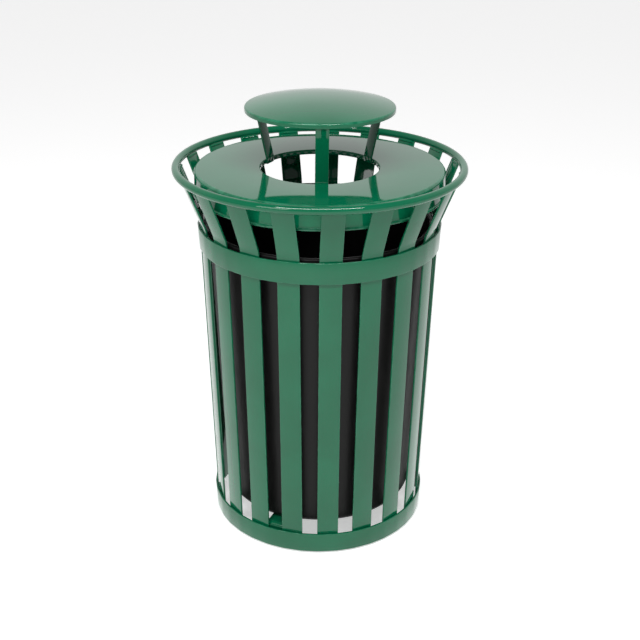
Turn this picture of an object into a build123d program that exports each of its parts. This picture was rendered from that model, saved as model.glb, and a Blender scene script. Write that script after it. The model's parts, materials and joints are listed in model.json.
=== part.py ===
"""Slatted steel litter bin: a welded basket of flat bars with a flared top, a plastic liner
inside it, and a flat lid whose round mouth is sheltered by a rain bonnet on three legs."""

import os
from math import asin, atan, cos, degrees, hypot, radians, sin, tan

from build123d import *

# ---------------------------------------------------------------- driving dimensions
# Millimetres and degrees. Z is up, Z = 0 is the ground and the Z axis is the bin's own axis.
# An azimuth is counted from the front, -Y, towards +X. Radii are from the axis.

# flat bar, rolled, used for the slats, the hoops and the cross bars
bar_width = 50.8
bar_thickness = 4.76
bar_corner = 1.2  # eased long edges
weld_gap = 0.05  # between welded pieces, so that no two solids share space

# basket
slat_count = 19
first_slat = 5.2  # azimuth of the slat nearest the front
hoop_clearance = 5.0  # from the ground to the base hoop
base_radius = 262.8  # outer face of a slat at the bottom of the base hoop
waist_radius = 283.8  # outer face of a slat at the middle of the waist hoop
waist_rise = 741.2  # from the bottom of the base hoop to the middle of the waist hoop
bend_rise = 9.0  # from the top of the waist hoop to the corner where the slats bend out
slat_setback = 2.0  # outer face of a slat inside the centre line of the top tube
slat_foot_step = 2.0  # slats stop this far above the bottom edge of the base hoop

# top ring, a bent tube
ring_radius = 335.5
ring_rise = 901.7  # from the bottom of the base hoop to the tube's centre line
tube_diameter = 19.05
tube_wall = 1.6

# a cross bar and two seat bars that carry the liner, the feet and the ground anchors
cross_gap = 1.5  # slat pitches from the first slat back to the front end of the cross bar
seat_pitches = 7  # slat pitches from the front end of the cross bar to each seat bar
seat_start = 185.0  # radius at which a seat bar begins
cross_rise = 62.0  # from the bottom of the base hoop to the bars' top face
cross_bend = 12.0  # bend radius on the outside of the bars' corners
tab_rise = 17.0  # from the bottom of the base hoop to the underside of the turned-in ends
tab_length = 46.0
anchor_circle = 300.0
anchor_hole = 13.0

# adjustable feet
stud_diameter = 10.0
stud_headroom = 2.5  # between a fully screwed in stud and the cross bar above it
stud_inset = 30.0  # from the outer end of a bar to the stud
nut_flats = 17.0
nut_height = 8.0
collar_flats = 15.0
collar_height = 8.0
pad_diameter = 36.0
pad_crown = 20.0  # diameter of the pad's flat top
pad_rim = 4.0  # height of the pad's upright rim
thread_clearance = 0.06  # radial, between stud and nut
foot_hole_clearance = 0.5  # radial, between stud and cross bar
foot_stop_gap = 0.2  # between a fully screwed in foot and its bar
stud_chamfer = 1.0

# liner
liner_wall = 3.0
liner_bottom_gap = 24.8  # from the slats' backs to the liner at its bottom
liner_lip_gap = 5.85  # from the slats' backs to the liner's lip
liner_rise = 770.0  # from the bottom of the base hoop to the top of the rim
liner_corner = 18.0
lip_reach = 10.0  # how far the rolled lip stands out from the wall
lip_depth = 16.0
lip_corner = 2.5  # inside the lip's two bends

# lid
sheet = 2.0
lid_radius = 294.0
lid_rise = 898.0  # from the bottom of the base hoop to the lid's top face
lid_corner = 8.0
skirt_depth = 55.6
bead_diameter = 6.0
mouth_radius = 139.0
mouth_flange = 11.0
mouth_corner = 4.0

# lid rests, bent from flat bar and welded inside four slats
rest_count = 4
rest_width = 25.0
rest_thickness = 4.0
rest_inset = 7.0  # how far a rest reaches in under the skirt
rest_leg = 26.0  # height of the leg welded to the slat
rest_bend = 8.0
rest_corner = 0.8

# rain bonnet and its legs
bonnet_radius = 174.0
bonnet_rise = 1031.3  # from the bottom of the base hoop to the bonnet's lower edge
bonnet_flange = 10.5
bonnet_crown = 22.0
bonnet_corner = 5.0
leg_count = 3
leg_azimuth = 1.8  # front leg
leg_width = 30.0
leg_thickness = 5.0
leg_bend = 14.0
leg_stand = 2.0  # upright length of a leg above the lid's top face
leg_corner = 1.0

# ---------------------------------------------------------------- derived places
half_bar = bar_width / 2
contact_half = half_bar - bar_corner  # where a slat's rounded edge stands out furthest
slat_pitch = 360 / slat_count
slat_azimuths = [first_slat + slat_pitch * k for k in range(slat_count)]

base_z = hoop_clearance
waist_z = base_z + waist_rise
waist_top = waist_z + half_bar
bend_z = waist_top + bend_rise
ring_z = base_z + ring_rise
cross_top = base_z + cross_rise
tab_z = base_z + tab_rise
lid_z = base_z + lid_rise
skirt_z = lid_z - skirt_depth
liner_top = base_z + liner_rise
bonnet_z = base_z + bonnet_rise

lean = atan((waist_radius - base_radius) / waist_rise)
bend_radius_out = base_radius + (bend_z - base_z) * tan(lean)
flare_radius = ring_radius - slat_setback
flare = atan((flare_radius - bend_radius_out) / (ring_z - bend_z))
bend_outer = bend_rise / tan((flare - lean) / 2)  # the bend starts at the waist hoop's edge


def slat_face(z):
    """Radius of a slat's outer face at a height below the bend."""
    return base_radius + (z - base_z) * tan(lean)


def slat_back(z):
    """Radius of a slat's inner face at a height below the bend."""
    return slat_face(z) - bar_thickness / cos(lean)


def flare_back(z):
    """Radius of a slat's inner face at a height above the bend."""
    return bend_radius_out + (z - bend_z) * tan(flare) - bar_thickness / cos(flare)


def chord_face(radius, width):
    """Radius of a flat bar's face whose two edges just miss a round wall around it."""
    return (radius**2 - (width / 2) ** 2) ** 0.5 - weld_gap


def radial_plane(azimuth):
    """Upright plane through the axis: its x runs outwards at the azimuth, its y runs up."""
    outward = Vector(sin(radians(azimuth)), -cos(radians(azimuth)), 0)
    return Plane(origin=(0, 0, 0), x_dir=outward, z_dir=outward.cross(Vector(0, 0, 1)))


def level_plane(azimuth, z):
    """Level plane at a height: its x runs outwards at the azimuth."""
    outward = Vector(sin(radians(azimuth)), -cos(radians(azimuth)), 0)
    return Plane(origin=(0, 0, z), x_dir=outward, z_dir=(0, 0, 1))


pieces = {}


def keep(name, part):
    """Label a finished piece and keep it for writing."""
    part.label = name
    pieces[name] = part


def bent_bar(plane, outline, bend, thickness, width, side, corner):
    """A flat bar bent along the outline of one face, with its thickness on one side of it."""
    with BuildPart() as bar:
        with BuildSketch(plane):
            with BuildLine():
                FilletPolyline(outline, radius=bend)
                offset(amount=thickness, side=side)
            make_face()
        extrude(amount=width / 2, both=True)
        cheeks = bar.faces().filter_by(Axis(plane.origin, plane.z_dir))
        ends = thickness * 1.01
        fillet([edge for edge in cheeks.edges() if edge.length > ends], radius=corner)
    return bar.part


# ---------------------------------------------------------------- basket
slat_foot_z = base_z + slat_foot_step
slat_outline = [
    (slat_face(slat_foot_z), slat_foot_z),
    (bend_radius_out, bend_z),
    (flare_radius, ring_z),
]

for number, azimuth in enumerate(slat_azimuths, start=1):
    with BuildPart() as slat:
        add(
            bent_bar(
                radial_plane(azimuth),
                slat_outline,
                bend_outer,
                bar_thickness,
                bar_width,
                Side.LEFT,
                bar_corner,
            )
        )
        with Locations((0, 0, ring_z)):
            Torus(ring_radius, tube_diameter / 2 + weld_gap, mode=Mode.SUBTRACT)
    keep(f"slat_{number:02d}", slat.part)

with BuildPart() as top_ring:
    with Locations((0, 0, ring_z)):
        Torus(ring_radius, tube_diameter / 2)
        Torus(ring_radius, tube_diameter / 2 - tube_wall, mode=Mode.SUBTRACT)
keep("top_ring", top_ring.part)


def make_hoop(low_z):
    """A hoop of flat bar round the outside of the slats, touching their edges."""
    high_z = low_z + bar_width
    low_bore = hypot(slat_face(low_z), contact_half) + weld_gap
    high_bore = hypot(slat_face(high_z), contact_half) + weld_gap
    with BuildPart() as hoop:
        with BuildSketch(Plane.XZ) as section:
            with BuildLine():
                Polyline(
                    (low_bore, low_z),
                    (low_bore + bar_thickness, low_z),
                    (high_bore + bar_thickness, high_z),
                    (high_bore, high_z),
                    close=True,
                )
            make_face()
            fillet(section.vertices(), radius=bar_corner)
        revolve(axis=Axis.Z)
    return hoop.part


keep("waist_hoop", make_hoop(waist_z - half_bar))
keep("base_hoop", make_hoop(base_z))


# ---------------------------------------------------------------- cross bars
def reach(azimuth, z):
    """Radius to which a bar end can run at an azimuth before its edges meet a slat's back."""
    limits = []
    for slat_azimuth in slat_azimuths:
        turn = radians(abs((azimuth - slat_azimuth + 180) % 360 - 180))
        if turn < radians(slat_pitch):
            limits.append((slat_back(z) - half_bar * sin(turn)) / cos(turn))
    return min(limits) - weld_gap


def stud_radius(azimuth):
    """Radius at which the foot under a bar end stands."""
    return reach(azimuth, tab_z) - stud_inset


def bar_end(azimuth):
    """Outline of one bar end: its top corner, its bottom corner and its turned-in tab."""
    low_reach = reach(azimuth, tab_z)
    high_reach = low_reach + (cross_top - tab_z) * tan(lean)
    return [(high_reach, cross_top), (low_reach, tab_z), (low_reach - tab_length, tab_z)]


def make_cross_bar(outline, azimuth, anchors, feet):
    """A flat bar under the liner, bent down at the slats and in again, drilled in places."""
    with BuildPart() as bar:
        add(
            bent_bar(
                radial_plane(azimuth),
                outline,
                cross_bend,
                bar_thickness,
                bar_width,
                Side.RIGHT,
                bar_corner,
            )
        )
        for anchor in anchors:
            with BuildSketch(level_plane(anchor, cross_top)):
                with Locations((anchor_circle / 2, 0)):
                    Circle(anchor_hole / 2)
            extrude(amount=-bar_thickness, mode=Mode.SUBTRACT)
        for foot in feet:
            with BuildSketch(level_plane(foot, tab_z)):
                with Locations((stud_radius(foot), 0)):
                    Circle(stud_diameter / 2 + foot_hole_clearance)
            extrude(amount=bar_thickness, mode=Mode.SUBTRACT)
    return bar.part


front_end = first_slat - cross_gap * slat_pitch
back_end = front_end + 180
right_seat = front_end + seat_pitches * slat_pitch
left_seat = front_end - seat_pitches * slat_pitch

far_half = [(-radius, z) for radius, z in reversed(bar_end(back_end))]
cross_outline = far_half + bar_end(front_end)
keep("cross_bar", make_cross_bar(cross_outline, front_end, [front_end, back_end], [front_end]))
for name, seat in (("seat_bar_right", right_seat), ("seat_bar_left", left_seat)):
    seat_outline = [(seat_start, cross_top)] + bar_end(seat)
    keep(name, make_cross_bar(seat_outline, seat, [], [seat]))

# ---------------------------------------------------------------- adjustable feet
tab_top = tab_z + bar_thickness
collar_top = tab_z - foot_stop_gap
collar_z = collar_top - collar_height
stud_length = cross_top - bar_thickness - stud_headroom - collar_top
pad_top = collar_z - weld_gap

for number, end in enumerate([front_end, right_seat, left_seat], start=1):
    foot_place = (stud_radius(end), 0)

    with BuildPart() as nut:
        with BuildSketch(level_plane(end, tab_top + weld_gap)):
            with Locations(foot_place):
                RegularPolygon(nut_flats / 2, 6, major_radius=False)
                Circle(stud_diameter / 2 + thread_clearance, mode=Mode.SUBTRACT)
        extrude(amount=nut_height)
    keep(f"foot_nut_{number}", nut.part)

    with BuildPart() as stud:
        with BuildSketch(level_plane(end, collar_z)):
            with Locations(foot_place):
                RegularPolygon(collar_flats / 2, 6, major_radius=False)
        extrude(amount=collar_height)
        with BuildSketch(level_plane(end, collar_top)):
            with Locations(foot_place):
                Circle(stud_diameter / 2)
        extrude(amount=stud_length)
        chamfer(stud.faces().sort_by(Axis.Z)[-1].edges(), length=stud_chamfer)
    keep(f"foot_stud_{number}", stud.part)

    with BuildPart() as pad:
        with BuildSketch(level_plane(end, 0)):
            with Locations(foot_place):
                Circle(pad_diameter / 2)
        extrude(amount=pad_rim)
        with BuildSketch(level_plane(end, pad_rim)):
            with Locations(foot_place):
                Circle(pad_diameter / 2)
        with BuildSketch(level_plane(end, pad_top)):
            with Locations(foot_place):
                Circle(pad_crown / 2)
        loft()
    keep(f"foot_pad_{number}", pad.part)


# ---------------------------------------------------------------- liner, lid and bonnet
def turned_sheet(outline, bends, thickness, side):
    """A round shell: the outline of one face, given a thickness and turned about the axis."""
    with BuildPart() as shell:
        with BuildSketch(Plane.XZ):
            with BuildLine():
                FilletPolyline(outline, radius=bends)
                offset(amount=thickness, side=side)
            make_face()
        revolve(axis=Axis.Z)
    return shell.part


liner_bottom_radius = slat_back(cross_top) - liner_bottom_gap
liner_mouth_radius = slat_back(liner_top) - liner_lip_gap - lip_reach
lip_under = liner_top - liner_wall
lip_inside = liner_mouth_radius + lip_reach - liner_wall
liner_outline = [
    (0, cross_top),
    (liner_bottom_radius, cross_top),
    (liner_mouth_radius, lip_under),
    (lip_inside, lip_under),
    (lip_inside, liner_top - lip_depth),
]
liner_bends = [liner_corner, lip_corner, lip_corner]
keep("liner", turned_sheet(liner_outline, liner_bends, liner_wall, Side.LEFT))

lid_outline = [
    (mouth_radius, lid_z - mouth_flange),
    (mouth_radius, lid_z),
    (lid_radius, lid_z),
    (lid_radius, skirt_z),
]
with BuildPart() as lid:
    add(turned_sheet(lid_outline, [mouth_corner, lid_corner], sheet, Side.RIGHT))
    with BuildSketch(Plane.XZ):
        with Locations((lid_radius - sheet + bead_diameter / 2, skirt_z + bead_diameter / 2)):
            Circle(bead_diameter / 2)
    revolve(axis=Axis.Z)
keep("lid", lid.part)

rim_top = bonnet_z + bonnet_flange
crown_sphere = (bonnet_radius**2 + bonnet_crown**2) / (2 * bonnet_crown)
crown_angle = degrees(asin(bonnet_radius / crown_sphere))
with BuildPart() as bonnet:
    with BuildSketch(Plane.XZ):
        with BuildLine() as bonnet_line:
            crown = JernArc((0, rim_top + bonnet_crown), (1, 0), crown_sphere, -crown_angle)
            Line(crown @ 1, (bonnet_radius, bonnet_z))
            fillet(bonnet_line.vertices().sort_by(Axis.X)[1:-1], radius=bonnet_corner)
            offset(amount=sheet, side=Side.RIGHT)
        make_face()
    revolve(axis=Axis.Z)
keep("bonnet", bonnet.part)

# ---------------------------------------------------------------- legs and lid rests
leg_foot_face = chord_face(mouth_radius, leg_width)
leg_head_face = chord_face(bonnet_radius - sheet, leg_width)
leg_outline = [
    (leg_foot_face, lid_z - mouth_flange),
    (leg_foot_face, lid_z + leg_stand),
    (leg_head_face, bonnet_z),
    (leg_head_face, rim_top - bonnet_corner),
]
for number in range(leg_count):
    plane = radial_plane(leg_azimuth + 360 / leg_count * number)
    leg = bent_bar(
        plane, leg_outline, leg_bend, leg_thickness, leg_width, Side.LEFT, leg_corner
    )
    keep(f"bonnet_leg_{number + 1}", leg)

rest_outline = [
    (lid_radius - rest_inset, skirt_z),
    (flare_back(skirt_z) - weld_gap, skirt_z),
    (flare_back(skirt_z - rest_leg) - weld_gap, skirt_z - rest_leg),
]
for number in range(rest_count):
    slat_index = round(slat_count / rest_count * number)
    plane = radial_plane(slat_azimuths[slat_index])
    rest = bent_bar(
        plane, rest_outline, rest_bend, rest_thickness, rest_width, Side.RIGHT, rest_corner
    )
    keep(f"lid_rest_{number + 1}", rest)

# ---------------------------------------------------------------- files
os.makedirs("parts", exist_ok=True)
for name, part in pieces.items():
    export_step(part, f"parts/{name}.step")
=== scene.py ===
# %% [markdown]
# # A slatted steel litter bin
# The bin is a welded basket of flat steel bars with a flared top. A black plastic liner stands in
# it, and a flat lid with a round mouth and a rain bonnet closes it. The sizes, the joints and the
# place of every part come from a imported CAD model. This lesson keeps that frame as it is and
# builds the visible pieces round it: the same bars and sheets, with eased edges, weld beads,
# threads and a paint finish.

# %% Load the frame
import json
from math import asin, atan2, cos, degrees, pi, radians, sin, tan

import bmesh
import bpy
from mathutils import Matrix, Vector


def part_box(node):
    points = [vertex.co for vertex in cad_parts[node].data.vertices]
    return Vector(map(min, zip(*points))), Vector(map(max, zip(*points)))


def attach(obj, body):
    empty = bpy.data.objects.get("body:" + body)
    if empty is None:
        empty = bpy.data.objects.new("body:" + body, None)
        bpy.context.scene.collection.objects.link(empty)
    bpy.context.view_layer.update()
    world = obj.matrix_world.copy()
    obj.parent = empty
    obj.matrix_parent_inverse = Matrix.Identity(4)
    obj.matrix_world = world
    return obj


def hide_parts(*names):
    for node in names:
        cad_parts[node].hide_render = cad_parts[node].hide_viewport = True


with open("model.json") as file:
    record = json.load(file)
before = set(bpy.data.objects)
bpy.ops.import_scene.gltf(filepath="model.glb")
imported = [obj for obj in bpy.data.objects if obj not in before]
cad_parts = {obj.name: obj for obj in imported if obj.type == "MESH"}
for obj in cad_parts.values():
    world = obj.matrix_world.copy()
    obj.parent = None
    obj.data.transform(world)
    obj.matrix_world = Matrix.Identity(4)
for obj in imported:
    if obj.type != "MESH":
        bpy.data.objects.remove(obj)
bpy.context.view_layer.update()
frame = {"nodes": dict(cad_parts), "record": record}
body_of_node = {
    node: body
    for body, nodes in frame["record"]["behaviour"]["bodies"].items()
    for node in nodes
}
slot_of_node = {part["node"]: part["material_slot"] for part in frame["record"]["subparts"]}

# %% [markdown]
# ## Measuring the frame
# Every size could be typed in again, but then two files would hold it. A ray shot at a CAD part
# gives the radius of its face at any height, so the pieces below are as large as the parts they
# stand for, and they follow when the CAD model changes. An azimuth is counted from the front,
# which is -Y, towards +X. A place in the upright plane at an azimuth is a radius and a height.

# %% Directions, boxes and rays
UP = Vector((0, 0, 1))
MM = 0.001


def heading(azimuth):
    """Unit vector that points outwards at an azimuth in degrees."""
    return Vector((sin(radians(azimuth)), -cos(radians(azimuth)), 0))


def low(node):
    """Height of a CAD node's lowest point."""
    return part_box(node)[0][2]


def high(node):
    """Height of a CAD node's highest point."""
    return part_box(node)[1][2]


def widest(node):
    """Largest radius of a CAD node that is round about the axis."""
    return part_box(node)[1][0]


def narrowest(node):
    """Smallest radius at which a CAD node has a corner."""
    return min(vertex.co.xy.length for vertex in frame["nodes"][node].data.vertices)


def outer_face(node, azimuth, height):
    """Radius of the face that a ray from outside meets."""
    start = heading(azimuth) * 2 + UP * height
    place = frame["nodes"][node].ray_cast(start, -heading(azimuth))[1]
    return place.dot(heading(azimuth))


def inner_face(node, azimuth, height):
    """Radius of the face that a ray from the axis meets."""
    place = frame["nodes"][node].ray_cast(UP * height, heading(azimuth))[1]
    return place.dot(heading(azimuth))


def surface_above(node, azimuth, radius):
    """Height of the face that a ray straight down meets."""
    return frame["nodes"][node].ray_cast(heading(azimuth) * radius + UP * 2, -UP)[1].z


def surface_below(node, azimuth, radius, height):
    """Height of the face that a ray straight up from a height meets."""
    return frame["nodes"][node].ray_cast(heading(azimuth) * radius + UP * height, UP)[1].z


def foot_azimuth(node):
    """Azimuth of the middle of a CAD node's lowest edge."""
    places = [vertex.co for vertex in frame["nodes"][node].data.vertices]
    limit = low(node) + 0.1 * MM
    lowest = [place for place in places if place.z < limit]
    middle = sum(lowest, Vector()) / len(lowest)
    return degrees(atan2(middle.x, -middle.y))


def breadth(node, azimuth):
    """Width of a CAD node across its azimuth."""
    across = heading(azimuth + 90)
    places = [vertex.co.dot(across) for vertex in frame["nodes"][node].data.vertices]
    return max(places) - min(places)


slat_names = sorted(name for name in frame["nodes"] if name.startswith("slat_"))
slat_azimuths = [foot_azimuth(name) for name in slat_names]
print("slats", len(slat_names), "from azimuth", round(slat_azimuths[0], 2))

# %% [markdown]
# ## Writing shaders as expressions
# A node tree is quick to draw by hand and slow to read in code. A small class wraps one output
# socket and gives it Python's operators, so a mask reads as a formula and each operator adds one
# Math node. Every other node goes through one method, which sets the node's own settings and
# then fills its sockets with values or links.

# %% A socket with operators


class Value:
    """One output socket of a material's node tree."""

    def __init__(self, tree, socket):
        self.tree = tree
        self.socket = socket

    def node(self, kind, settings=None, output=0, **inputs):
        """Add a node, apply its settings, fill its inputs and give back one output."""
        made = self.tree.nodes.new(kind)
        for name, setting in (settings or {}).items():
            if name == "stops":
                fill_ramp(made.color_ramp, setting)
            else:
                setattr(made, name, setting)
        for name, given in inputs.items():
            key = int(name[1:]) if name[0] == "_" else name.replace("_", " ")
            connect(self.tree, made.inputs[key], given)
        return Value(self.tree, made.outputs[output])

    def math(self, operation, *values, clamp=False):
        settings = {"operation": operation, "use_clamp": clamp}
        inputs = {f"_{index}": value for index, value in enumerate(values)}
        return self.node("ShaderNodeMath", settings, **inputs)

    def __add__(self, other):
        return self.math("ADD", self, other)

    def __radd__(self, other):
        return self.math("ADD", other, self)

    def __sub__(self, other):
        return self.math("SUBTRACT", self, other)

    def __rsub__(self, other):
        return self.math("SUBTRACT", other, self)

    def __mul__(self, other):
        return self.math("MULTIPLY", self, other)

    def __rmul__(self, other):
        return self.math("MULTIPLY", other, self)

    def between(self, start, end):
        """0 below start, 1 above end and a smooth rise in between."""
        settings = {"interpolation_type": "SMOOTHSTEP"}
        return self.node("ShaderNodeMapRange", settings, _0=self, _1=start, _2=end)


def connect(tree, socket, given):
    """Link a wrapped socket, or set a plain value."""
    if isinstance(given, Value):
        tree.links.new(given.socket, socket)
    else:
        socket.default_value = given


def fill_ramp(ramp, stops):
    """Give a colour ramp its stops, as pairs of a position and a colour."""
    while len(ramp.elements) > 1:
        ramp.elements.remove(ramp.elements[-1])
    ramp.elements[0].position, ramp.elements[0].color = stops[0]
    for position, colour in stops[1:]:
        ramp.elements.new(position).color = colour


def new_finish(name, **sockets):
    """A material with one Principled shader: its shader, its tree and its place on the piece."""
    material = bpy.data.materials.new(name)
    material.use_nodes = True
    tree = material.node_tree
    shader = tree.nodes["Principled BSDF"]
    for socket, value in sockets.items():
        shader.inputs[socket.replace("_", " ")].default_value = value
    coordinates = tree.nodes.new("ShaderNodeTexCoord")
    return material, shader, Value(tree, coordinates.outputs["Object"])


def noise(place, scale, detail=2.0, roughness=0.5):
    """Smooth noise from 0 to 1. The scale is in features per metre."""
    settings = {"noise_dimensions": "3D"}
    return place.node(
        "ShaderNodeTexNoise", settings, Vector=place, Scale=scale, Detail=detail,
        Roughness=roughness,
    )


def mix_colours(factor, dark, light):
    """A colour between two colours."""
    settings = {"data_type": "RGBA"}
    return factor.node("ShaderNodeMix", settings, output=2, _0=factor, _6=dark, _7=light)


def bump(height, distance, strength=1.0):
    """A normal that leans as a height map says. The distance is in metres."""
    return height.node(
        "ShaderNodeBump", {}, Strength=strength, Distance=distance, Height=height
    )


print("shader helpers ready")

# %% [markdown]
# ## Green powder coat
# Powder coat is melted plastic powder. It flows out glossy, with a faint orange peel a few
# millimetres across, and steel under it is never quite flat, so reflections wander slowly. It
# could be one flat colour with a low roughness, but then large sheets look like coloured glass.
# Here a slow noise shifts the green a little, a fine noise makes the peel, and dust and handling
# raise the roughness in patches. Along eased edges the coat pulls thin and looks paler. Each mesh
# marks those edges with an attribute named "edge", because a mask from the shape itself would be
# lost when the materials are baked.

# %% Make the powder coat
COAT_GREEN = (0.001, 0.114, 0.051, 1)
COAT_DEEP = (0.001, 0.097, 0.042, 1)
COAT_THIN = (0.030, 0.185, 0.105, 1)


def make_powder_coat():
    """Green coat with drift, peel, smudges, specks and thin edges."""
    material, shader, place = new_finish(
        "green powder coat", Coat_Weight=0.05, Coat_Roughness=0.02, IOR=1.42
    )
    drift = noise(place, 7, detail=3)
    peel = noise(place, 260, detail=1)
    smudge = noise(place, 21, detail=5, roughness=0.62).between(0.52, 0.72)
    speck = noise(place, 900, detail=1).between(0.66, 0.74)
    edge = place.node("ShaderNodeAttribute", {"attribute_name": "edge"}, output="Fac")
    worn = edge * noise(place, 55, detail=4).between(0.36, 0.66)
    colour = mix_colours(drift.between(0.3, 0.7), COAT_DEEP, COAT_GREEN)
    colour = mix_colours(worn * 0.55 + speck * 0.10, colour, COAT_THIN)
    connect(place.tree, shader.inputs["Base Color"], colour)
    gloss = 0.055 + smudge * 0.05 + worn * 0.16 + speck * 0.1
    connect(place.tree, shader.inputs["Roughness"], gloss)
    relief = bump(peel * 0.04 + drift * 1.0, 0.25 * MM)
    connect(place.tree, shader.inputs["Normal"], relief)
    return material


coat = make_powder_coat()
print("finish", coat.name)

# %% [markdown]
# ## Black moulded plastic
# The liner is rotation-moulded polyethylene: nearly black, with a low waxy sheen and a fine
# pebble from the mould. Bags and litter drag fine upright scuffs into its walls. A stretched
# noise makes those scuffs: the place is scaled far more in X and Y than in Z first.

# %% Make the plastic


def make_liner_plastic():
    material, shader, place = new_finish("black moulded plastic", IOR=1.28)
    stretched = place.node(
        "ShaderNodeMapping", {}, Vector=place, Scale=(1.0, 1.0, 0.06)
    )
    scuff = noise(stretched, 150, detail=3).between(0.55, 0.75)
    pebble = noise(place, 1300, detail=1)
    cloud = noise(place, 12, detail=4)
    colour = mix_colours(
        scuff * 0.35 + cloud * 0.3, (0.003, 0.003, 0.003, 1), (0.014, 0.0135, 0.013, 1)
    )
    connect(place.tree, shader.inputs["Base Color"], colour)
    connect(place.tree, shader.inputs["Roughness"], 0.36 + cloud * 0.12 + scuff * 0.12)
    connect(place.tree, shader.inputs["Normal"], bump(pebble + scuff * 0.5, 0.05 * MM))
    return material


liner_plastic = make_liner_plastic()
print("finish", liner_plastic.name)

# %% [markdown]
# ## Zinc and rubber
# The foot studs are zinc-plated: bright, slightly blue, with dull blooms where they were handled.
# The pads are plain black rubber, greyed by ground dust near their lower edge.

# %% Make the zinc plate and the rubber


def make_zinc():
    material, shader, place = new_finish("zinc plate", Metallic=1.0)
    bloom = noise(place, 180, detail=4).between(0.4, 0.7)
    colour = mix_colours(bloom, (0.62, 0.63, 0.64, 1), (0.42, 0.43, 0.42, 1))
    connect(place.tree, shader.inputs["Base Color"], colour)
    connect(place.tree, shader.inputs["Roughness"], 0.24 + bloom * 0.22)
    connect(place.tree, shader.inputs["Normal"], bump(noise(place, 1500), 0.02 * MM))
    return material


def make_rubber():
    material, shader, place = new_finish("black rubber", IOR=1.45)
    height = place.node("ShaderNodeSeparateXYZ", {}, output=2, Vector=place)
    dust = (1 - height.between(0.0, 7 * MM)) * noise(place, 220, detail=4).between(0.35, 0.7)
    colour = mix_colours(dust, (0.016, 0.016, 0.016, 1), (0.14, 0.13, 0.11, 1))
    connect(place.tree, shader.inputs["Base Color"], colour)
    connect(place.tree, shader.inputs["Roughness"], 0.62 + dust * 0.25)
    connect(place.tree, shader.inputs["Normal"], bump(noise(place, 900), 0.06 * MM))
    return material


zinc = make_zinc()
rubber = make_rubber()
finish_of_slot = {
    "green_powder_coat": coat,
    "black_liner_plastic": liner_plastic,
    "zinc_plated_steel": zinc,
    "black_foot_rubber": rubber,
}
print("finishes", sorted(finish_of_slot))

# %% [markdown]
# ## From a bmesh to a finished piece
# Each piece ends the same way: its doubles are merged, its faces are turned outwards, creases
# sharper than thirty degrees stay crisp, and the object takes a finish and a body to ride on,
# both from the first CAD node that it stands for. One function does that, so no piece misses a
# step.

# %% Finish a piece
CREASE = radians(30)


def finish_piece(bm, name, *nodes, merge=0.01 * MM):
    """Turn a bmesh into a piece with the finish and the body of its first CAD node."""
    bmesh.ops.remove_doubles(bm, verts=bm.verts, dist=merge)
    bmesh.ops.recalc_face_normals(bm, faces=bm.faces)
    mesh = bpy.data.meshes.new(name)
    bm.to_mesh(mesh)
    bm.free()
    mesh.shade_smooth()
    mesh.set_sharp_from_angle(angle=CREASE)
    piece = bpy.data.objects.new(name, mesh)
    bpy.context.scene.collection.objects.link(piece)
    slot = slot_of_node[nodes[0]]
    mesh.materials.append(finish_of_slot[slot])
    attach(piece, body_of_node[nodes[0]])
    return piece


def stand_for(bm, name, *nodes):
    """Finish a piece and hide the CAD nodes that it stands for."""
    piece = finish_piece(bm, name, *nodes)
    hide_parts(*nodes)
    return piece


def crease_edges(bm, angle=radians(50)):
    """Edges of a closed shape that turn by more than an angle."""
    return [edge for edge in bm.edges if edge.calc_face_angle(0) > angle]


def mark_edges(bm, faces):
    """Mark faces as edges where the coat is thin."""
    mark = bm.loops.layers.float.get("edge") or bm.loops.layers.float.new("edge")
    for face in faces:
        for loop in face.loops:
            loop[mark] = 1.0


def ease_edges(bm, edges, amount, segments=3):
    """Round some edges with a small bevel, and mark the new faces."""
    eased = bmesh.ops.bevel(
        bm, geom=edges, offset=amount, offset_type="OFFSET", affect="EDGES",
        segments=segments, profile=0.5, material=-1, clamp_overlap=True,
    )
    mark_edges(bm, eased["faces"])


print("piece helpers ready")

# %% [markdown]
# ## Sections and how they become solid
# Almost every part of the bin is one of two things: flat bar bent in an upright plane, or sheet
# turned about the axis. Both start as the outline of a section. Its corners are few, and each
# gets its own rounding from a vertex bevel. Pulled across, the section is a bar. Spun round, its
# rim is a turned shell that closes on itself, so the wall has its true thickness everywhere. A
# curve with a bevel could make the bars too, but it would pinch their thickness in the bends.

# %% Draw a section, then pull it or spin it


def draw_section(bm, azimuth, outline, roundings, centre=Vector(), segments=8):
    """A face in an upright plane, from pairs of radius and height, with rounded corners."""
    corner_of = bm.verts.layers.int.get("corner") or bm.verts.layers.int.new("corner")
    verts = [bm.verts.new(centre + heading(azimuth) * r + UP * z) for r, z in outline]
    bm.faces.new(verts)
    for number, (corner, amount) in enumerate(zip(verts, roundings), start=1):
        if amount:
            rounded = bmesh.ops.bevel(
                bm, geom=[corner], offset=amount, offset_type="OFFSET", affect="VERTICES",
                segments=segments, profile=0.5, material=-1,
            )
            for vert in rounded["verts"]:
                vert[corner_of] = number


def pull_across(bm, azimuth, width):
    """Pull a drawn section out to a bar that is centred on its plane."""
    across = heading(azimuth + 90)
    bmesh.ops.translate(bm, verts=bm.verts, vec=across * (-width / 2))
    pulled = bmesh.ops.extrude_face_region(bm, geom=bm.faces[:], use_keep_orig=True)
    far = [item for item in pulled["geom"] if isinstance(item, bmesh.types.BMVert)]
    bmesh.ops.translate(bm, verts=far, vec=across * width)
    bmesh.ops.recalc_face_normals(bm, faces=bm.faces)


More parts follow.
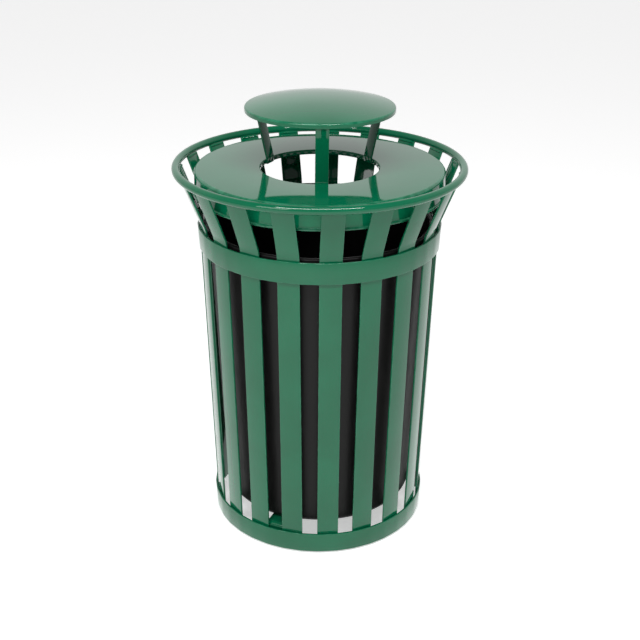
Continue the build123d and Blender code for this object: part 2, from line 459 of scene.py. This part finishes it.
def spin_round(bm, steps, centre=Vector()):
    """Spin a drawn section's rim all the way round an upright axis."""
    bmesh.ops.delete(bm, geom=bm.faces[:], context="FACES_ONLY")

    def on_axis(vert):
        return (vert.co - centre).xy.length < 0.001 * MM

    poles = [edge for edge in bm.edges if all(on_axis(vert) for vert in edge.verts)]
    bmesh.ops.delete(bm, geom=poles, context="EDGES")
    bmesh.ops.spin(
        bm, geom=bm.verts[:] + bm.edges[:], cent=centre, axis=UP, angle=2 * pi,
        steps=steps, use_merge=True,
    )
    bmesh.ops.remove_doubles(bm, verts=bm.verts, dist=0.001 * MM)
    bmesh.ops.recalc_face_normals(bm, faces=bm.faces)
    corner_of = bm.verts.layers.int["corner"]
    rounded = [
        face for face in bm.faces if face.verts[0][corner_of]
        and len({vert[corner_of] for vert in face.verts}) == 1
    ]
    mark_edges(bm, rounded)


print("section helpers ready")

# %% [markdown]
# ## Bending flat bar
# A bar is described by the line of one face and its thickness to the left of that line. The
# other face is the same line moved sideways, and where the bar bends, the two faces turn about
# one centre: the inner radius and the outer one differ by the thickness.

# %% Bend a bar and ease its edges


def turn_left(before, corner, after):
    """Signed turn of a line at a corner, positive to the left."""
    incoming = Vector(corner) - Vector(before)
    outgoing = Vector(after) - Vector(corner)
    return incoming.angle_signed(outgoing) * -1


def parallel(places, gap):
    """The same bent line, moved to its left by a gap."""
    points = [Vector(place) for place in places]
    steps = [(end - start).normalized() for start, end in zip(points, points[1:])]
    lefts = [Vector((-step.y, step.x)) for step in steps]
    moved = [points[0] + lefts[0] * gap]
    for corner, before, after in zip(points[1:], lefts, lefts[1:]):
        middle = (before + after).normalized()
        moved.append(corner + middle * (gap / middle.dot(before)))
    moved.append(points[-1] + lefts[-1] * gap)
    return [tuple(point) for point in moved]


def bent_bar(places, azimuth, bend_radius, thickness, width, eased):
    """A bmesh of flat bar, from the line of its right-hand face."""
    turns = [turn_left(*three) for three in zip(places, places[1:], places[2:])]
    right = [bend_radius * tan(abs(turn) / 2) for turn in turns]
    left = [
        (bend_radius - thickness if turn > 0 else bend_radius + thickness) * tan(abs(turn) / 2)
        for turn in turns
    ]
    outline = places + parallel(places, thickness)[::-1]
    roundings = [0, *right, 0, 0, *left[::-1], 0]
    bm = bmesh.new()
    draw_section(bm, azimuth, outline, roundings)
    pull_across(bm, azimuth, width)
    ease_edges(bm, crease_edges(bm), eased)
    return bm


print("bar helper ready")

# %% [markdown]
# ## Slats
# The slats carry the bin. Each is one length of flat bar that leans out to the waist hoop, bends
# just above it and flares to the tube at the top. Rays measure the lean below the bend and the
# flare above it; where those two lines cross is the corner to round. The top end stops inside
# the tube, where the weld closes round it.

# %% Measure and bend the slats
EASED = 1.2 * MM
tube_radius = (high("top_ring") - low("top_ring")) / 2
ring_height = low("top_ring") + tube_radius
ring_radius = widest("top_ring") - tube_radius
waist_top = high("waist_hoop")


def face_line(node, azimuth, low_z, high_z):
    """Slope and radius at height 0 of a face that leans straight between two heights."""
    low_r, high_r = (outer_face(node, azimuth, z) for z in (low_z, high_z))
    slope = (high_r - low_r) / (high_z - low_z)
    return slope, low_r - slope * low_z


slat, slat_azimuth = slat_names[0], slat_azimuths[0]
lean, foot_radius = face_line(slat, slat_azimuth, low(slat) + 5 * MM, waist_top - 60 * MM)
flare, flare_radius = face_line(slat, slat_azimuth, waist_top + 40 * MM, ring_height - 15 * MM)
bend_height = (foot_radius - flare_radius) / (flare - lean)
middle_height = waist_top / 2
bar_thickness = (
    outer_face(slat, slat_azimuth, middle_height) - inner_face(slat, slat_azimuth, middle_height)
) * cos(atan2(lean, 1))
bar_width = breadth(slat, slat_azimuth)


def slat_face(height):
    """Radius of a slat's outer face at any height."""
    if height < bend_height:
        return foot_radius + lean * height
    return flare_radius + flare * height


bend_turn = atan2(flare, 1) - atan2(lean, 1)
bend_radius = (bend_height - waist_top) / tan(bend_turn / 2)
slat_places = [
    (slat_face(low(slat)), low(slat)),
    (slat_face(bend_height), bend_height),
    (slat_face(ring_height), ring_height),
]
for name, azimuth in zip(slat_names, slat_azimuths):
    bm = bent_bar(slat_places, azimuth, bend_radius, bar_thickness, bar_width, EASED)
    stand_for(bm, name.replace("slat_", "flat_bar_slat_"), name)
print("slats", len(slat_names), "bend", round(degrees(bend_turn), 1), "degrees")

# %% [markdown]
# ## Top ring and hoops
# The ring is a steel tube rolled to a circle. The hoops are the same flat bar as the slats,
# rolled the flat way and drawn tight round them. A hoop that is welded to every slat isn't quite
# round: it lies flat on each bar and again between two bars. So after the spin each point of a
# hoop moves in a little, towards the chord of the bar or gap that it covers, and light breaks
# along those faint facets.

# %% Roll the tube and the hoops
RING_STEPS = 228
TUBE_SEGMENTS = 24
STEPS_PER_PITCH = 12
FLATTENING = 0.6  # 0 is a round hoop and 1 is a hoop of straight facets

tube = [
    (ring_radius + tube_radius * cos(turn), ring_height + tube_radius * sin(turn))
    for turn in (2 * pi * index / TUBE_SEGMENTS for index in range(TUBE_SEGMENTS))
]
bm = bmesh.new()
draw_section(bm, slat_azimuths[0], tube, [0] * TUBE_SEGMENTS)
spin_round(bm, RING_STEPS)
stand_for(bm, "top_tube_ring", "top_ring")


def chord_share(azimuth):
    """How far in a straight facet lies at an azimuth, as a share of the hoop's radius."""
    pitch = 360 / len(slat_names)
    off_slat = (azimuth - slat_azimuths[0] + pitch / 2) % pitch - pitch / 2
    half_slat = degrees(asin(bar_width / 2 / slat_face(waist_top)))
    if abs(off_slat) < half_slat:
        return cos(radians(half_slat)) / cos(radians(off_slat))
    half_gap = pitch / 2 - half_slat
    off_gap = pitch / 2 - abs(off_slat)
    return cos(radians(half_gap)) / cos(radians(off_gap))


def roll_hoop(node, name):
    """Spin a leaning rectangle and flatten it a little on every slat and in every gap."""
    bottom, top = low(node), high(node)
    inside = [(inner_face(node, slat_azimuth, z), z) for z in (bottom + MM, top - MM)]
    slope = (inside[1][0] - inside[0][0]) / (inside[1][1] - inside[0][1])
    low_r = inside[0][0] - slope * MM
    high_r = inside[1][0] + slope * MM
    outline = [
        (low_r, bottom),
        (low_r + bar_thickness, bottom),
        (high_r + bar_thickness, top),
        (high_r, top),
    ]
    bm = bmesh.new()
    draw_section(bm, slat_azimuths[0], outline, [EASED] * 4, segments=3)
    spin_round(bm, len(slat_names) * STEPS_PER_PITCH)
    for vert in bm.verts:
        share = chord_share(degrees(atan2(vert.co.x, -vert.co.y)))
        vert.co.xy *= 1 + (share - 1) * FLATTENING
    stand_for(bm, name, node)


roll_hoop("waist_hoop", "flat_bar_waist_hoop")
roll_hoop("base_hoop", "flat_bar_base_hoop")
print("ring", round(ring_radius, 4), "tube", round(tube_radius * 2, 4))

# %% [markdown]
# ## Weld beads
# Each slat is welded to the tube on both faces and to each hoop along both edges. A weld bead is
# a row of overlapping ripples, one for each dip of the rod. A cylinder gives the bead its run,
# cuts across it give rings to work with, and each ring is swelled or pinched by its place in a
# ripple. Each bead is shaped in a bmesh of its own and then joined to the others: all the beads
# of one joint are one piece, because they are made and painted together.

# %% Lay the beads
BEAD_RADIUS = 2.0 * MM
HOOP_BEAD_RADIUS = 1.6 * MM
RIPPLE = 2.6 * MM  # length of one ripple along the bead

scratch = bpy.data.meshes.new("scratch")


def lay_bead(joint, start, end, radius=BEAD_RADIUS):
    """Shape one rippled bead between two points, and add it to the beads of a joint."""
    run = end - start
    place = Matrix.Translation((start + end) / 2)
    bm = bmesh.new()
    bmesh.ops.create_cone(
        bm, cap_ends=True, segments=8, radius1=radius, radius2=radius, depth=run.length,
        matrix=place @ UP.rotation_difference(run).to_matrix().to_4x4(),
    )
    lengthwise = [edge for edge in bm.edges if edge.calc_length() > run.length * 0.9]
    cuts = max(5, round(run.length / RIPPLE) * 4)
    bmesh.ops.subdivide_edges(bm, edges=lengthwise, cuts=cuts)
    for vert in bm.verts:
        along = (vert.co - start).dot(run.normalized())
        centre = start + run.normalized() * along
        ripple = abs(sin(pi * along / RIPPLE))
        taper = min(1.0, (min(along, run.length - along) + 0.8 * MM) / (2 * MM))
        vert.co = centre + (vert.co - centre) * (0.72 + 0.28 * ripple) * taper
    bm.to_mesh(scratch)
    bm.free()
    joint.from_mesh(scratch)


def tube_touch(side):
    """Radius and height where a slat's outer (+1) or inner (-1) face meets the tube."""
    slant = atan2(flare, 1)
    inset = 0 if side > 0 else bar_thickness / cos(slant)
    offset = slat_face(ring_height) - inset - ring_radius
    drop = -offset * sin(slant)
    drop += (tube_radius**2 - (offset * cos(slant)) ** 2) ** 0.5
    return ring_radius + offset - drop * sin(slant), ring_height - drop * cos(slant)


half_bead = bar_width / 2 - 2.5 * MM
bm = bmesh.new()
for azimuth in slat_azimuths:
    across = heading(azimuth + 90) * half_bead
    for side in (1, -1):
        radius, height = tube_touch(side)
        middle = heading(azimuth) * radius + UP * height
        lay_bead(bm, middle - across, middle + across)
finish_piece(bm, "ring_weld_beads", "top_ring")


def hoop_welds(node, name):
    """Upright beads where each slat's edges meet a hoop from inside."""
    bottom, top = low(node) + 7 * MM, high(node) - 7 * MM
    bm = bmesh.new()
    for azimuth in slat_azimuths:
        for side in (1, -1):
            aside = heading(azimuth + 90) * side * (bar_width / 2 + 0.3 * MM)
            ends = [
                heading(azimuth) * (slat_face(z) - 0.5 * MM) + aside + UP * z
                for z in (bottom, top)
            ]
            lay_bead(bm, *ends, radius=HOOP_BEAD_RADIUS)
    finish_piece(bm, name, node)


hoop_welds("waist_hoop", "waist_hoop_weld_beads")
hoop_welds("base_hoop", "base_hoop_weld_beads")
beads_per_slat = 6  # two on the tube and two on each hoop
print("weld beads", len(slat_azimuths) * beads_per_slat)

# %% [markdown]
# ## Bars under the liner, nuts and lid rests
# Under the liner one bar crosses the base, with holes for ground anchors, and two short seat bars
# stand at the back. Small bent rests inside four slats hold the lid up. The bars and the welded
# nuts have the right shape in the CAD model already, so they only take the paint. The rests are
# bent again here, for their rounded edges.

# %% Paint the bars and bend the rests
for name in frame["nodes"]:
    if name.startswith(("cross_bar", "seat_bar", "foot_nut")):
        node = frame["nodes"][name]
        node.data.materials.clear()
        node.data.materials.append(coat)

rest_names = sorted(name for name in frame["nodes"] if name.startswith("lid_rest_"))
slat_depth = bar_thickness / cos(atan2(flare, 1))
for name in rest_names:
    azimuth = foot_azimuth(name)
    top, bottom = high(name), low(name)
    leg_z = bottom + 6 * MM
    rest_thickness = (
        outer_face(name, azimuth, leg_z) - inner_face(name, azimuth, leg_z)
    ) * cos(atan2(flare, 1))
    places = [
        (inner_face(name, azimuth, top - MM), top),
        (slat_face(top) - slat_depth, top),
        (slat_face(bottom) - slat_depth, bottom),
    ]
    width = breadth(name, azimuth)
    bm = bent_bar(places, azimuth, 8 * MM, -rest_thickness, width, 0.8 * MM)
    stand_for(bm, "bent_" + name, name)
print("lid rests", len(rest_names))

# %% [markdown]
# ## Feet
# A foot is a stud with a hexagonal collar for the spanner and a rubber pad on its end. The thread
# is what makes it read as a screw, so it gets real ridges: the stud's section has one notch for
# each turn and is spun about the stud. A true helix would need its two ends faded out, and rings
# of the same pitch can't be told from it at this size.

# %% Turn the studs and the pads
PITCH = 1.5 * MM
THREAD_DEPTH = 0.9 * MM
STUD_RADIUS = 5 * MM
COLLAR_RADIUS = 8.66 * MM  # to the corners of the hexagon
PAD_RADIUS = 18 * MM
PAD_CROWN_RADIUS = 10 * MM
PAD_RIM = 4 * MM


def middle_of(node):
    """Middle of a CAD node's box, on the ground."""
    lowest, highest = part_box(node)
    return Vector(((lowest[0] + highest[0]) / 2, (lowest[1] + highest[1]) / 2, 0))


def thread_outline(radius, bottom, top):
    """A stud's section from the axis out, with a notch for each turn of the thread."""
    core = radius - THREAD_DEPTH
    outline = [(0, bottom), (core, bottom)]
    for index in range(int((top - bottom) / PITCH)):
        start = bottom + PITCH * index
        outline += [(core, start + PITCH * 0.1), (radius, start + PITCH * 0.45)]
        outline += [(radius, start + PITCH * 0.6), (core, start + PITCH * 0.95)]
    return outline + [(core, top), (0, top)]


stud_names = sorted(name for name in frame["nodes"] if name.startswith("foot_stud_"))
for stud in stud_names:
    pad = stud.replace("stud", "pad")
    azimuth = foot_azimuth(stud)
    centre = middle_of(pad)
    collar_low = low(stud)
    collar_high = low("cross_bar") - 0.2 * MM
    bm = bmesh.new()
    outline = thread_outline(STUD_RADIUS, collar_high, high(stud))
    draw_section(bm, azimuth, outline, [0] * len(outline), centre)
    spin_round(bm, 24, centre)
    collar = bmesh.ops.create_cone(
        bm, cap_ends=True, segments=6, radius1=COLLAR_RADIUS, radius2=COLLAR_RADIUS,
        depth=collar_high - collar_low,
        matrix=Matrix.Translation(centre + UP * (collar_low + collar_high) / 2)
        @ Matrix.Rotation(radians(azimuth), 4, "Z"),
    )
    rims = {edge for vert in collar["verts"] for edge in vert.link_edges}
    ease_edges(bm, list(rims), 0.6 * MM, segments=2)
    stand_for(bm, "threaded_" + stud, stud)

    crown = high(pad)
    outline = [
        (0, 0), (PAD_RADIUS, 0), (PAD_RADIUS, PAD_RIM), (PAD_CROWN_RADIUS, crown), (0, crown),
    ]
    bm = bmesh.new()
    draw_section(bm, azimuth, outline, [0, 1.2 * MM, 1.5 * MM, 1.5 * MM, 0], centre)
    spin_round(bm, 48, centre)
    stand_for(bm, "rubber_" + pad, pad)
print("feet", len(stud_names))

# %% [markdown]
# ## Liner
# The liner is one moulded shell: a flat floor, a wall that leans out so that liners stack, and a
# lip rolled out and down at the mouth to lift it by. The section is drawn closed, wall thickness
# and all, and spun.

# %% Turn the liner
liner_low, liner_high = low("liner"), high("liner")
liner_slope, liner_foot = face_line("liner", 0, liner_low + 50 * MM, liner_high - 60 * MM)
wall = outer_face("liner", 0, middle_height) - inner_face("liner", 0, middle_height)
lip_radius = widest("liner")
lip_low = surface_below("liner", 0, lip_radius - wall / 2, middle_height)


def liner_face(height):
    """Radius of the liner's outer face at any height."""
    return liner_foot + liner_slope * height


outline = [
    (0, liner_low),
    (liner_face(liner_low), liner_low),
    (liner_face(liner_high - wall), liner_high - wall),
    (lip_radius - wall, liner_high - wall),
    (lip_radius - wall, lip_low),
    (lip_radius, lip_low),
    (lip_radius, liner_high),
    (liner_face(liner_high) - wall, liner_high),
    (liner_face(liner_low) - wall, liner_low + wall),
    (0, liner_low + wall),
]
roundings = [0, 18 * MM, 2.5 * MM, 2.5 * MM, MM, MM, 5 * MM, 5 * MM, 15 * MM, 0]
bm = bmesh.new()
draw_section(bm, 0, outline, roundings)
spin_round(bm, 160)
stand_for(bm, "moulded_liner", "liner")
print("liner wall", round(wall, 4), "lip", round(lip_radius, 4))

# %% [markdown]
# ## Lid
# The lid is pressed from one sheet: a flange turned down round the mouth, a flat top, a rounded
# shoulder, a skirt and a bead rolled at its bottom, which keeps the sheet stiff and the edge
# blunt. The bead is drawn into the same section, as two rounded corners that stand out of the
# skirt, so the lid is one closed shell with no seam.

# %% Press the lid
TURNS = 180
lid_low, lid_high = low("lid"), high("lid")
mid_skirt = (lid_low + lid_high) / 2
lid_radius = outer_face("lid", 0, mid_skirt)
sheet = lid_radius - inner_face("lid", 0, mid_skirt)
bead = widest("lid") - (lid_radius - sheet)
mouth_radius = narrowest("lid")
mouth_low = surface_below("lid", 0, mouth_radius + sheet / 2, mid_skirt)
half_round = bead / 2 - 0.05 * MM
outline = [
    (mouth_radius, mouth_low),
    (mouth_radius, lid_high),
    (lid_radius, lid_high),
    (lid_radius, lid_low + bead),
    (lid_radius - sheet + bead, lid_low + bead),
    (lid_radius - sheet + bead, lid_low),
    (lid_radius - sheet, lid_low),
    (lid_radius - sheet, lid_high - sheet),
    (mouth_radius + sheet, lid_high - sheet),
    (mouth_radius + sheet, mouth_low),
]
roundings = [
    0.5 * MM, 4 * MM, 8 * MM, 0.8 * MM, half_round,
    half_round, half_round, 6 * MM, 2 * MM, 0.5 * MM,
]
bm = bmesh.new()
draw_section(bm, 0, outline, roundings)
spin_round(bm, TURNS)
stand_for(bm, "pressed_lid", "lid")
print("lid radius", round(lid_radius, 4), "mouth", round(mouth_radius, 4))

# %% [markdown]
# ## Rain bonnet
# The bonnet is a shallow spun dome with a short upright flange. A dome pressed from thin sheet is
# part of a sphere, so two heights on it, at the crown and at some radius, give the sphere. The
# arc is written out from that formula, because a rounded corner of this width would be flatter
# in the middle than a real dome.

# %% Spin the bonnet
ARC_STEPS = 40
bonnet_low, bonnet_high = low("bonnet"), high("bonnet")
bonnet_radius = widest("bonnet")
probe = bonnet_radius * 0.7
sagitta = bonnet_high - surface_above("bonnet", 0, probe)
sphere = (probe**2 + sagitta**2) / (2 * sagitta)
sphere_middle = bonnet_high - sphere


def arc(radius, reach):
    """Points of an arc about the sphere's middle, from the axis out to a radius."""
    widest_turn = asin(reach / radius)
    turns = [widest_turn * index / ARC_STEPS for index in range(ARC_STEPS + 1)]
    return [(radius * sin(turn), sphere_middle + radius * cos(turn)) for turn in turns]


outer_arc = arc(sphere, bonnet_radius)
inner_arc = arc(sphere - sheet, bonnet_radius - sheet)
outline = outer_arc + [
    (bonnet_radius, bonnet_low), (bonnet_radius - sheet, bonnet_low)
] + inner_arc[::-1]
roundings = [0] * ARC_STEPS + [3.5 * MM, 0.6 * MM, 0.6 * MM, 2 * MM] + [0] * ARC_STEPS
bm = bmesh.new()
draw_section(bm, 0, outline, roundings)
spin_round(bm, TURNS)
stand_for(bm, "spun_bonnet", "bonnet")
print("bonnet radius", round(bonnet_radius, 4), "sphere", round(sphere, 3))

# %% [markdown]
# ## Bonnet legs
# Three straps of flat bar hold the bonnet over the mouth. Each is welded inside the mouth's
# flange, bends out above the lid, and bends up again inside the bonnet's flange. The same bar
# helper bends them. Small beads along both edges join each foot to the lid.

# %% Bend the legs and weld their feet
leg_names = sorted(name for name in frame["nodes"] if name.startswith("bonnet_leg_"))
weld_bm = bmesh.new()
for name in leg_names:
    azimuth = foot_azimuth(name)
    foot, head = low(name), high(name)
    slope, base = face_line(name, azimuth, foot + 60 * MM, foot + 90 * MM)
    foot_face = outer_face(name, azimuth, foot + 3 * MM)
    head_face = outer_face(name, azimuth, head - 3 * MM)
    thickness = foot_face - inner_face(name, azimuth, foot + 3 * MM)
    places = [
        (foot_face, foot),
        (foot_face, (foot_face - base) / slope),
        (head_face, (head_face - base) / slope),
        (head_face, head),
    ]
    width = breadth(name, azimuth)
    bm = bent_bar(places, azimuth, 14 * MM, thickness, width, MM)
    stand_for(bm, "strap_" + name, name)
    for side in (1, -1):
        edge_turn = degrees(asin((width / 2 + 0.4 * MM) / mouth_radius)) * side
        spot = heading(azimuth + edge_turn) * (mouth_radius - 0.4 * MM)
        lay_bead(weld_bm, spot + UP * (foot + 0.5 * MM), spot + UP * (lid_high - 4 * MM))
finish_piece(weld_bm, "leg_weld_beads", "lid")
bpy.data.meshes.remove(scratch)
print("legs", len(leg_names), "thickness", round(thickness, 4))

# %% [markdown]
# ## Floor
# The bin stands on a plain pale floor in a studio. The floor glows a bit, which stands in for the
# light that a white sweep throws back from all sides.

# %% Lay the floor
FLOOR_RADIUS = 30

floor_mesh = bpy.data.meshes.new("floor")
bm = bmesh.new()
bmesh.ops.create_circle(bm, cap_ends=True, segments=96, radius=FLOOR_RADIUS)
bm.to_mesh(floor_mesh)
bm.free()
floor = bpy.data.objects.new("floor", floor_mesh)
bpy.context.scene.collection.objects.link(floor)
floor_finish = bpy.data.materials.new("pale floor")
floor_finish.use_nodes = True
floor_shader = floor_finish.node_tree.nodes["Principled BSDF"]
floor_shader.inputs["Base Color"].default_value = (0.9, 0.9, 0.9, 1)
floor_shader.inputs["Roughness"].default_value = 0.85
floor_shader.inputs["Emission Color"].default_value = (1, 1, 1, 1)
floor_shader.inputs["Emission Strength"].default_value = 0.5
floor_mesh.materials.append(floor_finish)
print("floor radius", FLOOR_RADIUS)

# %% [markdown]
# ## Light
# Glossy paint shows whatever surrounds it, so the surroundings do most of the work. Behind the
# bin they are bright, as a white sweep is, and overhead and in front they are dim, so the lid and
# the slats are whitened while the tube keeps its deep green. The camera itself sees plain white
# there. A long strip lamp high in front draws the thin highlight along the tube, and a square
# lamp at the front left lifts that side a little.

# %% Light the bin
world = bpy.data.worlds.new("studio sky")
bpy.context.scene.world = world
world.use_nodes = True
sky = world.node_tree.nodes["Background"]
sky.inputs["Color"].default_value = (1, 1, 1, 1)
direction = Value(
    world.node_tree, world.node_tree.nodes.new("ShaderNodeTexCoord").outputs["Generated"]
)
backward = direction.node("ShaderNodeSeparateXYZ", {}, output=1, Vector=direction)
upward = direction.node("ShaderNodeSeparateXYZ", {}, output=2, Vector=direction)
seen = direction.node("ShaderNodeLightPath")
glow = 0.30 + backward.between(-0.5, 0.8) * 0.75
glow = glow * (1 - upward.between(0.5, 0.95) * 0.8) * (0.8 + upward.between(0.0, 0.35) * 0.2)
strength = seen.node("ShaderNodeMix", {"data_type": "FLOAT"}, _0=seen, _2=glow, _3=1.0)
connect(world.node_tree, sky.inputs["Strength"], strength)


def add_lamp(name, place, aim, size, power):
    """A rectangular area light that faces a point, with its long side level."""
    data = bpy.data.lights.new(name, "AREA")
    data.shape, data.energy = "RECTANGLE", power
    data.size, data.size_y = size
    lamp = bpy.data.objects.new(name, data)
    lamp.location = place
    lamp.rotation_euler = (Vector(aim) - Vector(place)).to_track_quat("-Z", "Y").to_euler()
    bpy.context.scene.collection.objects.link(lamp)


add_lamp("strip lamp", (0, -1.6, 3.2), (0, 0, 0.9), (2.6, 0.35), 90)
add_lamp("left lamp", (-1.8, -2.6, 2.4), (0, 0, 0.5), (1.4, 1.4), 30)
print("lamps", 2, "and", world.name)

# %% [markdown]
# ## Camera
# A slightly long lens keeps the bin from looking wide at the top. It stands in front, well above
# the lid, and looks down far enough to show the lid's mouth under the bonnet.

# %% Place the camera
CAMERA_PLACE = (0.0024, -2.5152, 1.6503)
CAMERA_TILT, CAMERA_ROLL = 65.56, 0.33  # degrees

camera_data = bpy.data.cameras.new("camera")
camera_data.sensor_width, camera_data.lens = 36, 62.5
camera = bpy.data.objects.new("camera", camera_data)
tilt = Matrix.Rotation(radians(CAMERA_TILT), 4, "X")
roll = Matrix.Rotation(radians(CAMERA_ROLL), 4, "Z")
camera.matrix_world = Matrix.Translation(CAMERA_PLACE) @ tilt @ roll
bpy.context.scene.collection.objects.link(camera)
bpy.context.scene.camera = camera
bpy.context.scene.view_settings.view_transform = "Standard"
print("lens", camera_data.lens)
